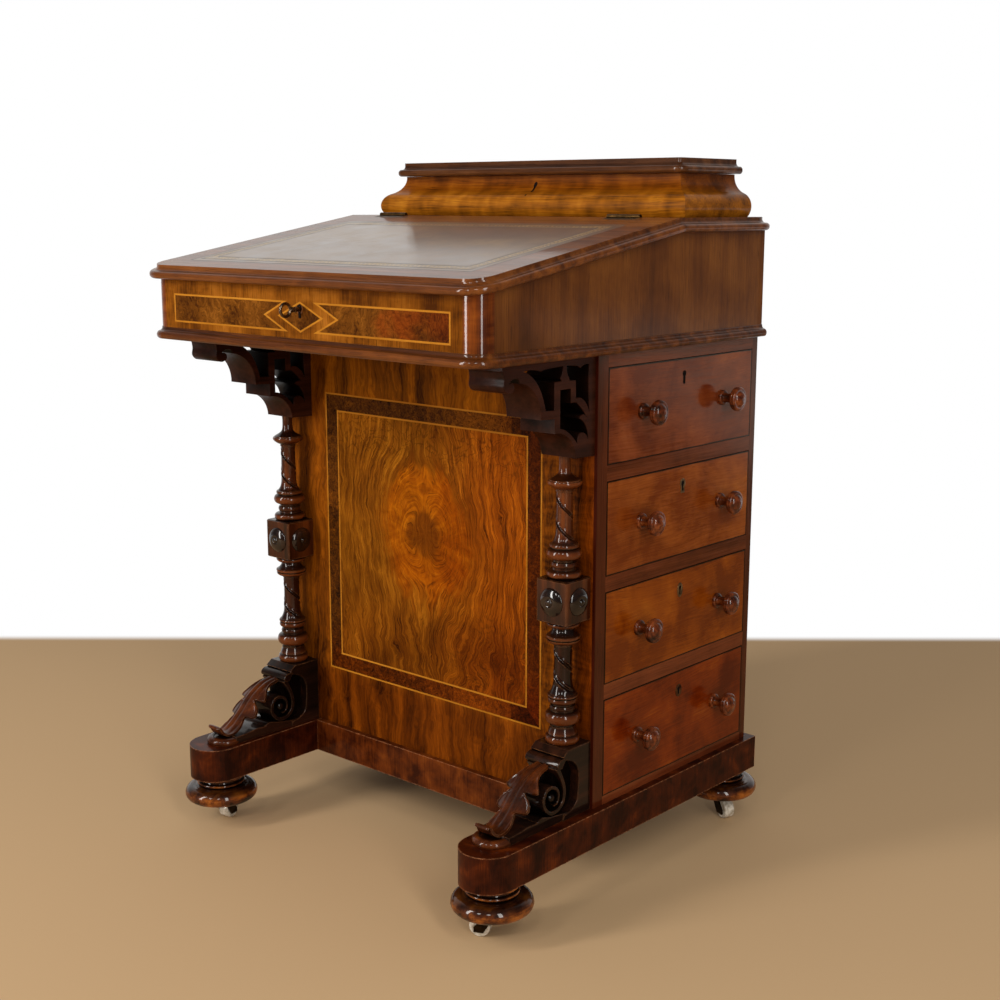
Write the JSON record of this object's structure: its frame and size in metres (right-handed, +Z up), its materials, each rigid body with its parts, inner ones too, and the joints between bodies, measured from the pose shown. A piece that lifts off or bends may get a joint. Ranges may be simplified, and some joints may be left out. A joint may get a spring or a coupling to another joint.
{
  "type": "davenport desk",
  "caption": "Small writing desk with a sloping leather-topped box on a side-drawer pedestal, turned columns, pierced scroll brackets, bun feet and castors.",
  "frame": {"origin": "centre of the footprint box on the floor", "axes": "+X to the sitter's right, the side the drawers open to; -Y towards the sitter; +Z up"},
  "size_m": [0.574, 0.5776, 0.8345],
  "materials": {
    "burr_walnut": "french polished burr veneer",
    "dark_burr_banding": "french polished dark burr crossbanding",
    "boxwood": "polished pale stringing",
    "golden_walnut": "french polished figured veneer",
    "straight_walnut": "satin polished straight grain",
    "moulded_walnut": "gloss polished mouldings",
    "drawer_walnut": "french polished vertical grain",
    "dark_carved_walnut": "gloss polished dark carving and turning",
    "turned_knob_wood": "gloss polished turning",
    "plinth_walnut": "satin polished dark red-brown",
    "lining_wood": "plain sealed lining",
    "tooled_leather": "aged brown hide with gilt tooling",
    "aged_brass": "aged satin brass",
    "dark_iron": "worn dark iron",
    "white_ceramic": "glazed white ceramic"
  },
  "bodies": {
    "carcase": {"front_veneer": "burr_walnut", "rail_burr_panels": "burr_walnut", "front_banding": "dark_burr_banding", "boxwood_stringing": "boxwood", "front_rail": "golden_walnut", "box_corner_posts": "golden_walnut", "stationery_case": "golden_walnut", "box_sides": "straight_walnut", "box_back": "straight_walnut", "back_panel": "straight_walnut", "left_side": "straight_walnut", "drawer_rails": "straight_walnut", "front_panel": "straight_walnut", "top_board": "moulded_walnut", "base_moulding": "moulded_walnut", "dummy_drawer_fronts": "drawer_walnut", "columns": "dark_carved_walnut", "column_bosses": "dark_carved_walnut", "upper_brackets": "dark_carved_walnut", "lower_brackets": "dark_carved_walnut", "acanthus_leaves": "dark_carved_walnut", "bun_feet": "dark_carved_walnut", "dummy_knobs": "turned_knob_wood", "sledges": "plinth_walnut", "plinth_rails": "plinth_walnut", "box_bottom": "lining_wood", "pedestal_top": "lining_wood", "pedestal_floor": "lining_wood", "drawer_runners": "lining_wood", "stationery_fittings": "lining_wood", "hinge_fixed_leaves": "aged_brass", "lid_lock": "aged_brass", "castor_sockets": "aged_brass"},
    "slope_lid": {"slope_lid": "moulded_walnut", "leather_skiver": "tooled_leather", "lid_hinge_leaves": "aged_brass"},
    "stationery_lid": {"stationery_lid": "golden_walnut", "stationery_hinge_leaves": "aged_brass"},
    "drawer_1": {"drawer_1_front": "drawer_walnut", "drawer_1_box": "lining_wood", "drawer_1_knobs": "turned_knob_wood"},
    "drawer_2": {"drawer_2_front": "drawer_walnut", "drawer_2_box": "lining_wood", "drawer_2_knobs": "turned_knob_wood"},
    "drawer_3": {"drawer_3_front": "drawer_walnut", "drawer_3_box": "lining_wood", "drawer_3_knobs": "turned_knob_wood"},
    "drawer_4": {"drawer_4_front": "drawer_walnut", "drawer_4_box": "lining_wood", "drawer_4_knobs": "turned_knob_wood"},
    "key": {"key": "dark_iron"},
    "lock_bolt": {"lock_bolt": "aged_brass"},
    "castor_front_left": {"castor_front_left_horn": "aged_brass"},
    "wheel_front_left": {"castor_front_left_wheel": "white_ceramic"},
    "castor_front_right": {"castor_front_right_horn": "aged_brass"},
    "wheel_front_right": {"castor_front_right_wheel": "white_ceramic"},
    "castor_rear_left": {"castor_rear_left_horn": "aged_brass"},
    "wheel_rear_left": {"castor_rear_left_wheel": "white_ceramic"},
    "castor_rear_right": {"castor_rear_right_horn": "aged_brass"},
    "wheel_rear_right": {"castor_rear_right_wheel": "white_ceramic"}
  },
  "joints": [
    {"name": "slope_lid_hinge", "type": "hinge", "parent": "carcase", "child": "slope_lid", "pos_m": [0, 0.07515, 0.76772], "axis": [-1, 0, 0], "range_deg": [0, 100]},
    {"name": "stationery_lid_hinge", "type": "hinge", "parent": "carcase", "child": "stationery_lid", "pos_m": [0, 0.25195, 0.81687], "axis": [-1, 0, 0], "range_deg": [0, 95]},
    {"name": "drawer_1_slide", "type": "slide", "parent": "carcase", "child": "drawer_1", "axis": [1, 0, 0], "range_m": [0, 0.36]},
    {"name": "drawer_2_slide", "type": "slide", "parent": "carcase", "child": "drawer_2", "axis": [1, 0, 0], "range_m": [0, 0.36]},
    {"name": "drawer_3_slide", "type": "slide", "parent": "carcase", "child": "drawer_3", "axis": [1, 0, 0], "range_m": [0, 0.36]},
    {"name": "drawer_4_slide", "type": "slide", "parent": "carcase", "child": "drawer_4", "axis": [1, 0, 0], "range_m": [0, 0.36]},
    {"name": "key_turn", "type": "hinge", "parent": "carcase", "child": "key", "pos_m": [0, -0.25185, 0.67], "axis": [0, 1, 0], "range_deg": [0, 90]},
    {"name": "bolt_slide", "type": "slide", "parent": "carcase", "child": "lock_bolt", "axis": [0, 0, 1], "range_m": [0, 0.006]},
    {"name": "swivel_front_left", "type": "hinge", "parent": "carcase", "child": "castor_front_left", "pos_m": [-0.2342, -0.20195, 0.031], "axis": [0, 0, 1], "continuous": true},
    {"name": "roll_front_left", "type": "hinge", "parent": "castor_front_left", "child": "wheel_front_left", "pos_m": [-0.23735, -0.18934, 0.012], "axis": [-0.9703, -0.2419, 0], "continuous": true},
    {"name": "swivel_front_right", "type": "hinge", "parent": "carcase", "child": "castor_front_right", "pos_m": [0.2342, -0.20195, 0.031], "axis": [0, 0, 1], "continuous": true},
    {"name": "roll_front_right", "type": "hinge", "parent": "castor_front_right", "child": "wheel_front_right", "pos_m": [0.22242, -0.20744, 0.012], "axis": [0.4226, -0.9063, 0], "continuous": true},
    {"name": "swivel_rear_left", "type": "hinge", "parent": "carcase", "child": "castor_rear_left", "pos_m": [-0.2342, 0.24315, 0.031], "axis": [0, 0, 1], "continuous": true},
    {"name": "roll_rear_left", "type": "hinge", "parent": "castor_rear_left", "child": "wheel_rear_left", "pos_m": [-0.2281, 0.25463, 0.012], "axis": [-0.8829, 0.4695, 0], "continuous": true},
    {"name": "swivel_rear_right", "type": "hinge", "parent": "carcase", "child": "castor_rear_right", "pos_m": [0.2342, 0.24315, 0.031], "axis": [0, 0, 1], "continuous": true},
    {"name": "roll_rear_right", "type": "hinge", "parent": "castor_rear_right", "child": "wheel_rear_right", "pos_m": [0.24617, 0.23807, 0.012], "axis": [0.3907, 0.9205, 0], "continuous": true}
  ],
  "couplings": [
    {"joint": "key_turn", "follows": "bolt_slide", "rad_per_m": 258}
  ]
}
